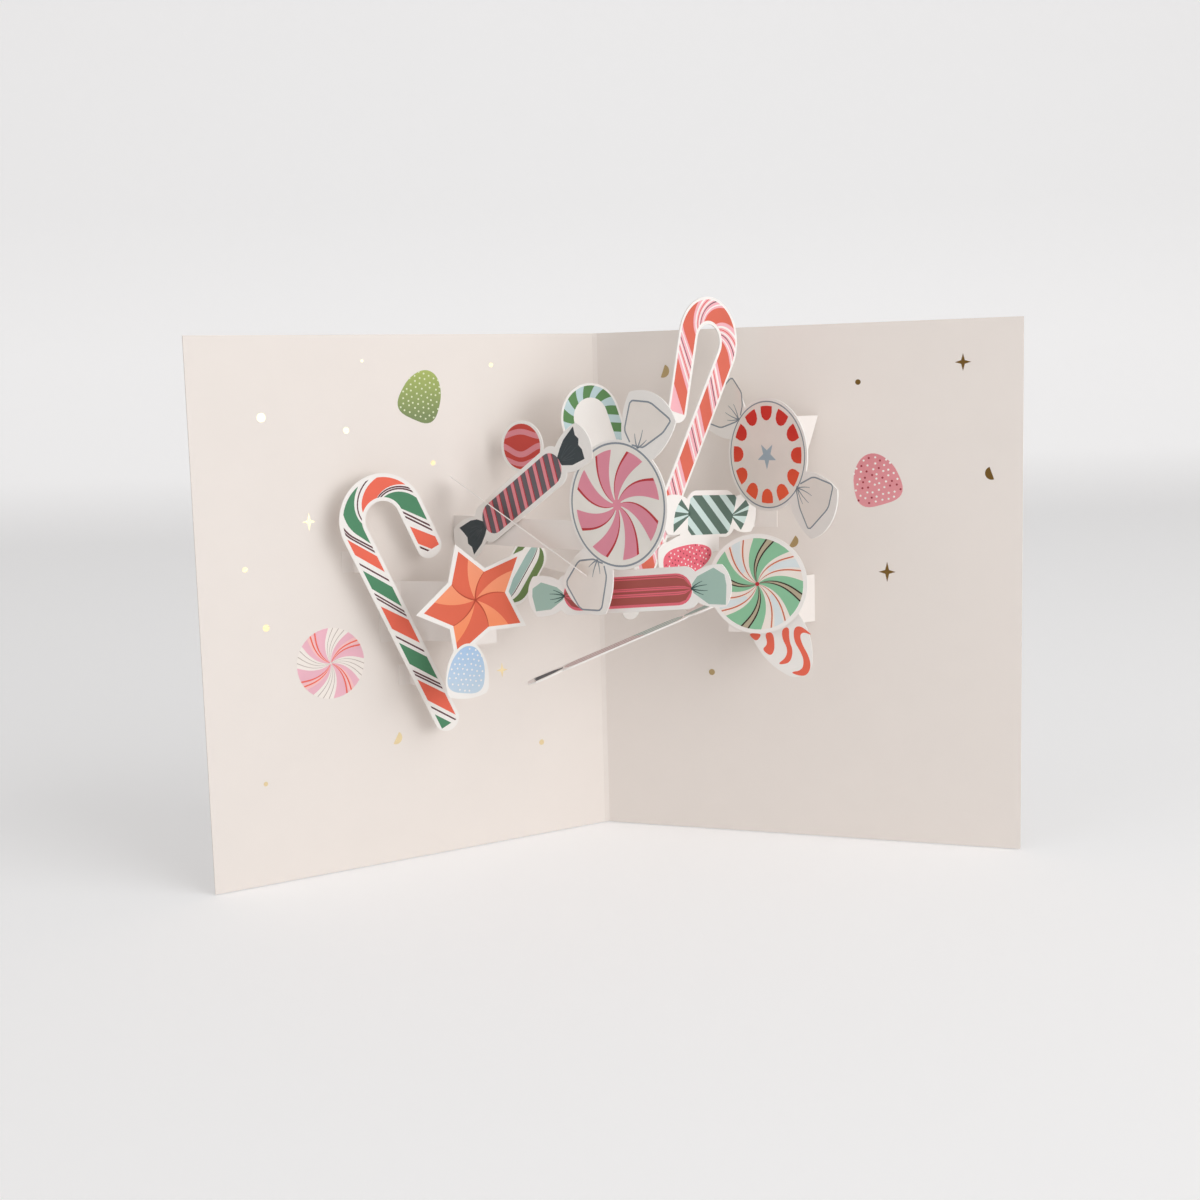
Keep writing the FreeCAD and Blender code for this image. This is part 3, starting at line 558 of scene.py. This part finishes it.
bigSwirl = {
    "print": "big_swirl_candy_print", "node": "big_swirl_candy", "place": (-1.83, -69.03, 104.8, -48),
    "line": 16.6, "lineWide": 0.5, "ground": 16.4, "rimSteps": 64,
    "arms": 8, "first": 17, "inner": 1.2, "outer": 14.7, "bend": 36, "narrow": 1.5,
    "edge": (-8, 13), "pink": (-10.5, 9.8), "hub": 1.5, "hubSteps": 20,
    "wrap": {"rounding": 0.1, "line": 0.45, "folds": (34, 3, 5.2)},
    "ends": [
        {"outline": [(5.4, 15.9), (3.2, 19.8), (5.5, 27.5), (12.3, 26.9), (19.2, 22.2), (16.4, 19),
                     (9.5, 15.2), (7, 15.6)],
         "root": polar(16.8, 63.3), "way": 67.3},
        {"outline": [(-5.4, -15.9), (-4.4, -19.5), (-6.6, -28.8), (-14.3, -29), (-19.6, -22),
                     (-14.5, -15.6), (-9, -14.9), (-7, -15.6)],
         "root": polar(16.8, 243.3), "way": 247.3},
    ],
}
shapes = [("swirlGround", 0, ring(bigSwirl["ground"], count=bigSwirl["rimSteps"]))]
shapes += [("greyLine", 1, half) for half in hoop(bigSwirl["line"], bigSwirl["lineWide"])]
for k in range(bigSwirl["arms"]):
    mid = bigSwirl["first"] + 360 / bigSwirl["arms"] * k
    for ink, layer, part in (("swirlEdge", 1, "edge"), ("swirlPink", 2, "pink")):
        low, high = bigSwirl[part]
        shapes.append((ink, layer, blade(bigSwirl["inner"], bigSwirl["outer"], mid + low, mid + high,
                                         bigSwirl["bend"], narrow=bigSwirl["narrow"])))
shapes.append(("swirlPink", 3, ring(bigSwirl["hub"], count=bigSwirl["hubSteps"])))
for end in bigSwirl["ends"]:
    shapes += wrapperEnd(end, bigSwirl["wrap"])
printOn(bigSwirl, shapes)

ringedCandy = {
    "print": "ringed_red_candy_print", "node": "ringed_red_candy", "place": (45.0, -39.22, 115.6, -58),
    "ground": 15.1, "line": 15.3, "lineWide": 0.35, "rimSteps": 64, "petals": 12,
    # a petal's outline as radius and angle from its middle line
    "petal": [(13.9, -9.5), (13.9, -5), (13.9, 0), (13.9, 5), (13.9, 9.5), (12.2, 10.6), (10.9, 9.6),
              (10, 5.5), (9.7, 0), (10, -5.5), (10.9, -9.6), (12.2, -10.6)],
    "star": (3.9, 1.55), "starAt": (0, -0.3), "starFirst": -90,
    "wrap": {"rounding": 0.1, "line": 0.4, "folds": (34, 4, 6.5, 0.35)},
    "ends": [
        {"outline": [(-11, 10.6), (-9.9, 14), (-10.2, 17.8), (-14.3, 22.4), (-21, 17), (-25.4, 9.2),
                     (-19.3, 7.6), (-12.6, 9.4)],
         "root": polar(15.4, 139), "way": 149},
        {"outline": [(12.2, -8.4), (18.4, -5.8), (26, -7.9), (24, -14.4), (16.4, -20.9), (12.9, -14.6),
                     (11.7, -9.6)],
         "root": polar(15.2, -37), "way": -31},
    ],
}
shapes = [("wrapGround", 0, ring(ringedCandy["ground"], count=ringedCandy["rimSteps"]))]
shapes += [("greyLine", 1, half) for half in hoop(ringedCandy["line"], ringedCandy["lineWide"])]
for k in range(ringedCandy["petals"]):
    mid = 360 / ringedCandy["petals"] * k
    shapes.append(("petal", 1, [polar(r, mid + a) for r, a in ringedCandy["petal"]]))
shapes.append(("starGrey", 1, [polar(ringedCandy["star"][k % 2], ringedCandy["starFirst"] + 36 * k,
                                     ringedCandy["starAt"]) for k in range(10)]))
for end in ringedCandy["ends"]:
    shapes += wrapperEnd(end, ringedCandy["wrap"])
printOn(ringedCandy, shapes)

darkCandy = {
    "print": "dark_striped_candy_print", "node": "dark_striped_candy",
    "place": (-26.21, -42.54, 106.6, -48), "lean": 31.5,
    "body": (17.9, 4.45, (0.6, 0)), "stripes": 11, "first": -17.6, "pitch": 3.45, "slant": 2.4,
    "reach": 4.6,
    # each stripe's parts: start, width and ink
    "parts": ((0.0, 1.25, "stripePink"), (1.2, 0.35, "swirlEdge")),
    "wings": [
        [(-17.0, 1.2), (-19, 3), (-21.5, 4), (-26.8, 4.6), (-26, 2.6), (-25.4, 0.6), (-26.2, -1),
         (-25.3, -2.6), (-25.8, -4.9), (-21.2, -3.8), (-18.5, -2.4), (-17.2, -1.4)],
        [(18.2, 1.2), (20.5, 2.8), (23, 4.1), (28, 5.2), (27.3, 2.9), (27.9, 1.4), (26.9, 0),
         (27.4, -1.6), (26.8, -4.3), (22, -3.4), (18.6, -1.4)],
    ],
    "necks": (((-17.6, 0), 180), ((18.8, 0), 0)), "folds": (24, 5, 7, 0.3),
}
darkBody = pill(*darkCandy["body"])
shapes = [("stripeGrey", 0, darkBody)]
for k in range(darkCandy["stripes"]):
    x, reach, slant = darkCandy["first"] + darkCandy["pitch"] * k, darkCandy["reach"], darkCandy["slant"]
    for start, wide, ink in darkCandy["parts"]:
        a = x + start
        shapes.append((ink, 1, clipTo([(a, -reach), (a + wide, -reach), (a + wide + slant, reach),
                                       (a + slant, reach)], darkBody)))
shapes += [("ink", 0, wing) for wing in darkCandy["wings"]]
for neck, way in darkCandy["necks"]:
    shapes += folds("night", 1, neck, way, *darkCandy["folds"])
shapes = [(ink, layer, turned(line, darkCandy["lean"])) for ink, layer, line in shapes]
printOn(darkCandy, shapes)

redBall = {
    "print": "red_ball_print", "node": "red_ball", "place": (-24.3, -26.0, 119.6, -40), "radius": 6.6,
    "reach": 7, "wave": 0.42, "shift": 0.2,
    # each wavy band: height, swing and width
    "bands": ((3.6, 0.7, 1.6), (-1.0, -1.3, 1.7), (-4.2, -0.9, 1.3)),
}
ballRim = ring(redBall["radius"])
shapes = [("ballRed", 0, ballRim)]
for height, swing, wide in redBall["bands"]:
    line = [(x, height + swing * math.cos(x * redBall["wave"] + redBall["shift"]))
            for x in range(-redBall["reach"], redBall["reach"] + 1)]
    shapes.append(("ballPink", 1, clipTo(stroke(line, wide), ballRim)))
printOn(redBall, shapes)

greenCandy = {
    "print": "green_candy_print", "node": "green_candy_and_gumdrop",
    "place": (28.66, -34.93, 98.9, 39.5), "lean": -3,
    "body": [(-9.9, -4.4), (-8.4, -5.9), (6.9, -5.9), (8.1, -5.2), (9.6, -2), (10.1, 0), (11.4, 4.4),
             (10.4, 5.4), (-7.6, 5.4), (-9.0, 4.6), (-9.9, 0.5)],
    "first": -16.4, "pitch": 7.5, "wide": 4.3, "slant": 13.4, "top": 5.8, "foot": -6.2,
    "ends": (((-8.7, 0.2), [(-12.9, 4.4), (-14.2, 2.9), (-15.4, 0.9), (-15.8, -0.8), (-16.1, -2.6),
                            (-16, -5)]),
             ((9.0, -0.7), [(13.6, -5), (15, -3.2), (16.2, -1), (16.9, 0.9), (17.2, 2.2), (15.6, 3.9)])),
}
pinkGumdrop = {"at": (-10.4, -12.5), "tilt": -82, "size": (9.6, 20.8), "dots": (0.26, 1.5)}
shapes = [("slatePale", 0, greenCandy["body"])]
for k in range(-1, 4):
    a, wide, slant = greenCandy["first"] + greenCandy["pitch"] * k, greenCandy["wide"], greenCandy["slant"]
    top, foot = greenCandy["top"], greenCandy["foot"]
    shapes.append(("slate", 1, clipTo([(a, top), (a + slant, foot), (a + slant + wide, foot),
                                       (a + wide, top)], greenCandy["body"])))
for neck, rim in greenCandy["ends"]:
    shapes.append(("slatePale", 0, [neck] + rim))
    shapes += [("slate", 1, [neck] + rim[k:k + 2]) for k in (0, 2, 4)]
shapes = [(ink, layer, turned(line, greenCandy["lean"])) for ink, layer, line in shapes]
shapes.append(("berry", 0, drop(*pinkGumdrop["size"], pinkGumdrop["at"], pinkGumdrop["tilt"])))
shapes += sprinkle("white", 1, *pinkGumdrop["size"], pinkGumdrop["at"], pinkGumdrop["tilt"],
                   *pinkGumdrop["dots"], "darkRed")
printOn(greenCandy, shapes)

longCandy = {
    "print": "long_red_candy_print", "node": "long_red_candy", "place": (0.75, -63.1, 80.9, -32),
    "lean": 4.8, "around": (0, -0.3), "body": (19.3, 4.3), "bandBody": (19.1, 4.2),
    "bands": ((0.22, 0.76), (-0.84, -0.36), (-0.14, 0.02), (0.84, 0.9), (0.12, 0.15), (-0.27, -0.24)),
    "wing": [(19.4, 1.2), (21.2, 3.2), (26, 5.2), (28.9, 3.2), (29.2, 0.4), (28.5, -4.8), (23.7, -4.4),
             (19.6, -1.2)],
    # the left wing is lower than the right one
    "wingTall": {1: 1, -1: 0.8}, "neck": 19.0, "folds": (28, 4, 5.2, 0.4),
}
shapes = [("rose", 0, pill(*longCandy["body"]))]
shapes += [("brick", 1, lengthwise(*longCandy["bandBody"], low, high)) for low, high in longCandy["bands"]]
for side, tall in longCandy["wingTall"].items():
    shapes.append(("teal", 0, [(x * side, y * tall) for x, y in longCandy["wing"]]))
    shapes += folds("fold", 1, (longCandy["neck"] * side, 0), 90 - 90 * side, *longCandy["folds"])
shapes = [(ink, layer, turned(line, longCandy["lean"], longCandy["around"]))
          for ink, layer, line in shapes]
printOn(longCandy, shapes)

mintSwirl = {
    "print": "mint_swirl_print", "node": "mint_swirl", "place": (40.26, -45.32, 79.3, -22),
    "rim": 13.1, "inner": 0.3, "rimSteps": 64, "first": 45, "bend": 38, "hub": 0.6, "hubSteps": 12,
    # ink, layer, angles at the rim, inner radius and widening towards the hub
    "arms": (("mint", 1, 0, 49, 0.3, 1.0), ("mintIce", 1, -24, -11, 5, 1.0),
             ("mintTan", 2, 23.5, 32.5, 0.3, 1.0), ("mintLine", 3, 22.5, 24.5, 0.3, 2.2),
             ("mintLine", 3, 31.5, 33.5, 0.3, 2.2), ("thinCoral", 2, -8.9, -7.1, 0.3, 2.4),
             ("thinCoral", 2, -28.9, -27.1, 0.3, 2.4)),
}
shapes = [("mintPale", 0, ring(mintSwirl["rim"], count=mintSwirl["rimSteps"]))]
for k in range(4):
    base = mintSwirl["first"] + 90 * k
    for ink, layer, low, high, inner, narrow in mintSwirl["arms"]:
        shapes.append((ink, layer, blade(inner, mintSwirl["rim"], base + low, base + high,
                                         mintSwirl["bend"], narrow=narrow)))
shapes.append(("swirlEdge", 4, ring(mintSwirl["hub"], count=mintSwirl["hubSteps"])))
printOn(mintSwirl, shapes)

wavyGumdrop = {
    "print": "wavy_gumdrop_print", "node": "red_wavy_gumdrop", "place": (47.83, -45.11, 61.4, -panelTurn),
    "grow": 1.07, "shift": (0.3, -0.4),
    "waves": [
        [(-10, 3.3), (-6.6, 3.3), (-6.8, 2.3), (-7.8, 1.2), (-9, 1.9)],
        [(-5.6, 3.5), (-3.2, 3.8), (-2.8, -0.3), (-3.4, -2.2), (-4.4, -2.6), (-6.4, -1), (-4.7, 0.4)],
        [(-0.8, 4.7), (1.2, 5.4), (1.1, 1.6), (2.2, -1.2), (1.4, -4.3), (-0.8, -5), (-2, -4.8),
         (0.2, -3.1), (0.7, -0.7), (-0.8, 2.1)],
        [(2.4, 5), (4.1, 5.7), (6.5, 4), (7.3, 3.1), (5.1, 4), (4, 3.1), (4.6, 0.7), (6.5, -2.6),
         (7, -5.5), (5.8, -7.8), (3.6, -7.9), (1.2, -7), (4.6, -6.4), (5.1, -3.6), (4.1, -1.2),
         (2.4, 1.6)],
    ],
}
grow, (right, rise) = wavyGumdrop["grow"], wavyGumdrop["shift"]
shapes = [("coral", 0, smooth([(x * grow + right, y * grow + rise) for x, y in wave]))
          for wave in wavyGumdrop["waves"]]
printOn(wavyGumdrop, shapes)

mauveCandy = {
    "print": "mauve_candy_print", "node": "mauve_candy", "place": (-0.3, -62.0, 66.5, 0, -21, -94.6),
    "body": (17.6, 4.3), "bandBody": (17.4, 4.1), "bands": ((0.25, 0.5), (-0.6, -0.35)),
    "colourEnd": [(6, -5), (20, -5), (20, 5), (3, 5)],
    "wing": [(18, 1), (21, 3.2), (26.6, 4.2), (25.9, 1.8), (26.6, 0), (25.9, -1.8), (26.6, -4.2),
             (21, -3.2), (18, -1)],
    "wingInks": {-1: "night", 1: "sea"},
}
mauveBody = pill(*mauveCandy["body"])
shapes = [("mauve", 0, mauveBody), ("sea", 1, clipTo(mauveCandy["colourEnd"], mauveBody))]
shapes += [("white", 2, lengthwise(*mauveCandy["bandBody"], low, high)) for low, high in mauveCandy["bands"]]
for side, ink in mauveCandy["wingInks"].items():
    shapes.append((ink, 0, [(x * side, y) for x, y in mauveCandy["wing"]]))
printOn(mauveCandy, shapes)
print("candies printed")

foilForm = {"waist": 0.32, "steps": 20}


# a four-pointed star with hollow sides
def sparkle(around, tall, wide):
    points = []
    for k, (x, y) in enumerate(((0, tall), (-wide, 0), (0, -tall), (wide, 0))):
        points += [(around[0] + x, around[1] + y),
                   polar(min(tall, wide) * foilForm["waist"], 135 + 90 * k, around)]
    return points


# a half-moon
def moon(around, radius, tilt):
    return turned([polar(radius, a) for a in range(90, 271, 15)], tilt, around)


def foilShapes(panel):
    shapes = [(ink, 0, ring(size, at, foilForm["steps"])) for ink, at, size in panel["spots"]]
    shapes += [(ink, 0, sparkle(at, tall, wide)) for ink, at, tall, wide in panel["sparkles"]]
    shapes += [(ink, 0, moon(at, size, tilt)) for ink, at, size, tilt in panel["moons"]]
    return shapes


leftPanel = {
    "print": "left_panel_print", "node": "folded_card", "place": (0, 0, 0, panelTurn),
    "drop": {"size": (13.4, 14.8), "at": (-58.4, 135.1), "tilt": -24, "dots": (0.28, 1.7)},
    "swirl": {"at": (-90, 60.6), "rim": 10.1, "rimSteps": 48, "first": 2, "inner": 0.3, "bend": 34,
              # ink, layer, angles at the rim and widening towards the hub
              "arms": (("rosePale", 1, 0, 54, 1.0), ("blushPale", 2, 27, 40, 1.0),
                       ("coral", 3, 22.7, 25.3, 2), ("coral", 3, 31.7, 34.3, 2),
                       ("hairLine", 2, -8.6, -7.4, 1.5), ("hairLine", 2, -18.6, -17.4, 1.5),
                       ("hairLine", 2, -28.6, -27.4, 1.5))},
    "spots": [("foil", (-106.6, 130.2), 1.25), ("foil", (-82.1, 125.9), 0.9), ("foil", (-55.7, 115.6), 0.75),
              ("foil", (-35.7, 143.4), 0.65), ("foil", (-113.5, 89.1), 0.75), ("foil", (-108.4, 72.5), 1.0),
              ("foil", (-110.9, 28.8), 0.65), ("foil", (-22.8, 28.6), 0.85), ("foil", (-76.4, 145.1), 0.4)],
    "sparkles": [("foil", (-94.4, 101.0), 2.5, 1.9), ("foil", (-35.6, 52.5), 2.3, 1.9)],
    "moons": [("foil", (-71.0, 36.5), 1.9, 150)],
}
olive, paleSwirl = leftPanel["drop"], leftPanel["swirl"]
shapes = [("oliveDrop", 0, drop(*olive["size"], olive["at"], olive["tilt"]))]
shapes += sprinkle("oliveDot", 1, *olive["size"], olive["at"], olive["tilt"], *olive["dots"])
shapes.append(("paleSwirl", 0, ring(paleSwirl["rim"], paleSwirl["at"], paleSwirl["rimSteps"])))
for k in range(4):
    base = paleSwirl["first"] + 90 * k
    for ink, layer, low, high, narrow in paleSwirl["arms"]:
        shapes.append((ink, layer, blade(paleSwirl["inner"], paleSwirl["rim"], base + low, base + high,
                                         paleSwirl["bend"], paleSwirl["at"], narrow)))
printOn(leftPanel, shapes + foilShapes(leftPanel), -1)

rightPanel = {
    "print": "right_panel_print", "node": "folded_card", "place": (0, 0, 0, -panelTurn),
    "drop": {"size": (14.4, 15.2), "at": (85.5, 107.4), "tilt": 16, "dots": (0.32, 1.8)},
    # its foil marks use the painted-shade copies of the gold foil, darker than the same foil on the left
    # panel
    "spots": [("foilPaintedShadeDark", (80.5, 135.5), 0.8), ("foilPaintedShadeTan", (35.2, 49.0), 0.95)],
    "sparkles": [("foilPaintedShadeDark", (110.3, 140.3), 2.5, 2.3), ("foilPaintedShadeDark", (88.7, 80.4), 3.0, 2.5)],
    "moons": [("foilPaintedShadeTan", (21.6, 140.4), 2.0, 160), ("foilPaintedShadeDark", (118.4, 108.9), 1.9, 20),
              ("foilPaintedShadeTan", (60.6, 89.3), 1.9, 150)],
}
blush = rightPanel["drop"]
shapes = [("blushDrop", 0, drop(*blush["size"], blush["at"], blush["tilt"]))]
shapes += sprinkle("white", 1, *blush["size"], blush["at"], blush["tilt"], *blush["dots"], "darkRed")
printOn(rightPanel, shapes + foilShapes(rightPanel), 1)
print("panels printed")

# a pale floor that bends up into the backdrop
stage = {
    "deep": 0.0003, "front": -2.5, "long": 7.5, "wide": 4, "bendAt": 1.1, "bendRadius": 0.9,
    "steps": (2, 60), "rough": 0.9, "glowColour": (1, 0.995, 1, 1),
    # height and glow as the camera sees it
    "glow": ((0, 0.15), (0.05, 0.27), (0.2, 0.27), (0.4, 0.23)),
}
bpy.ops.mesh.primitive_grid_add(x_subdivisions=stage["steps"][0], y_subdivisions=stage["steps"][1],
                                size=2, location=(0, 0, 0))
sweep = bpy.context.object
sweep.name = "stage_sweep"
quarter = stage["bendRadius"] * math.pi / 2
for vertex in sweep.data.vertices:
    along = stage["front"] + (vertex.co.y + 1) / 2 * stage["long"]
    over = max(0.0, along - stage["bendAt"])
    a = min(over, quarter) / stage["bendRadius"]
    y = min(along, stage["bendAt"]) + stage["bendRadius"] * math.sin(a)
    z = stage["bendRadius"] * (1 - math.cos(a)) + max(0.0, over - quarter)
    vertex.co = (vertex.co.x * stage["wide"], y, z - stage["deep"])
bpy.ops.object.shade_smooth()


def addGlow(material):
    nodes, links = material.node_tree.nodes, material.node_tree.links
    seen, lift = nodes.new("ShaderNodeLightPath"), nodes.new("ShaderNodeMath")
    place, split = nodes.new("ShaderNodeTexCoord"), nodes.new("ShaderNodeSeparateXYZ")
    ramp = nodes.new("ShaderNodeValToRGB")
    for height, glow in stage["glow"][1:-1]:
        ramp.color_ramp.elements.new(height)
    for stop, (height, glow) in zip(ramp.color_ramp.elements, stage["glow"]):
        stop.position = height
        stop.color = (glow, glow, glow, 1)
    lift.operation = "MULTIPLY"
    links.new(place.outputs["Object"], split.inputs["Vector"])
    links.new(split.outputs["Z"], ramp.inputs["Fac"])
    links.new(seen.outputs["Is Camera Ray"], lift.inputs[0])
    links.new(ramp.outputs["Color"], lift.inputs[1])
    nodes["Principled BSDF"].inputs["Emission Color"].default_value = stage["glowColour"]
    links.new(lift.outputs["Value"], nodes["Principled BSDF"].inputs["Emission Strength"])


stageMaterial = sheetMaterial("stage_white", "f3f3f4", stage["rough"], 0.0, 0.0)
addGlow(stageMaterial)
sweep.data.materials.append(stageMaterial)

lights = [
    {"name": "key_light", "at": (1.3, -1.15, 0.95), "aim": (0, 0, 0.07), "size": 1.5, "power": 12,
     "colour": (0.97, 0.99, 1.0)},
    {"name": "fill_light", "at": (-1.6, -0.9, 0.9), "aim": (0, 0, 0.07), "size": 1.5, "power": 3.2,
     "colour": (1, 1, 1)},
    {"name": "low_light", "at": (0.55, -0.85, 0.09), "aim": (-0.05, 0, 0.02), "size": 0.6, "power": 3.2,
     "colour": (1, 1, 1)},
]
for light in lights:
    bpy.ops.object.light_add(type="AREA", location=light["at"])
    lamp = bpy.context.object
    lamp.name = light["name"]
    lamp.data.shape = "SQUARE"
    lamp.data.size = light["size"]
    lamp.data.energy = light["power"]
    lamp.data.color = light["colour"]
    lamp.rotation_euler = (Vector(light["aim"]) - Vector(light["at"])).to_track_quat("-Z", "Y").to_euler()

daylight = {"colour": (1.0, 0.98, 0.96, 1), "strength": 0.53}
world = bpy.context.scene.world or bpy.data.worlds.new("studio")
bpy.context.scene.world = world
world.use_nodes = True
background = world.node_tree.nodes["Background"]
background.inputs["Color"].default_value = daylight["colour"]
background.inputs["Strength"].default_value = daylight["strength"]

cameraView = {"at": (-49.694, -492.220, 134.522), "turn": 5.716, "pitch": 7.368, "roll": -1.554,
              "sensor": 36, "lens": 48.14, "near": 0.01}
camTurn, camPitch, camRoll = (math.radians(cameraView[part]) for part in ("turn", "pitch", "roll"))
forward = Vector((math.sin(camTurn) * math.cos(camPitch), math.cos(camTurn) * math.cos(camPitch),
                  -math.sin(camPitch)))
sideways = Vector((math.cos(camTurn), -math.sin(camTurn), 0))
upright = sideways.cross(forward)
rightward = sideways * math.cos(camRoll) + upright * math.sin(camRoll)
bpy.ops.object.camera_add(location=(0, 0, 0))
camera = bpy.context.object
view = Matrix((rightward, rightward.cross(forward), -forward)).transposed().to_4x4()
view.translation = Vector(cameraView["at"]) * mm
camera.matrix_world = view
camera.data.sensor_width = cameraView["sensor"]
camera.data.lens = cameraView["lens"]
camera.data.clip_start = cameraView["near"]
bpy.context.scene.camera = camera
bpy.context.scene.view_settings.view_transform = "Standard"

print("stage set")
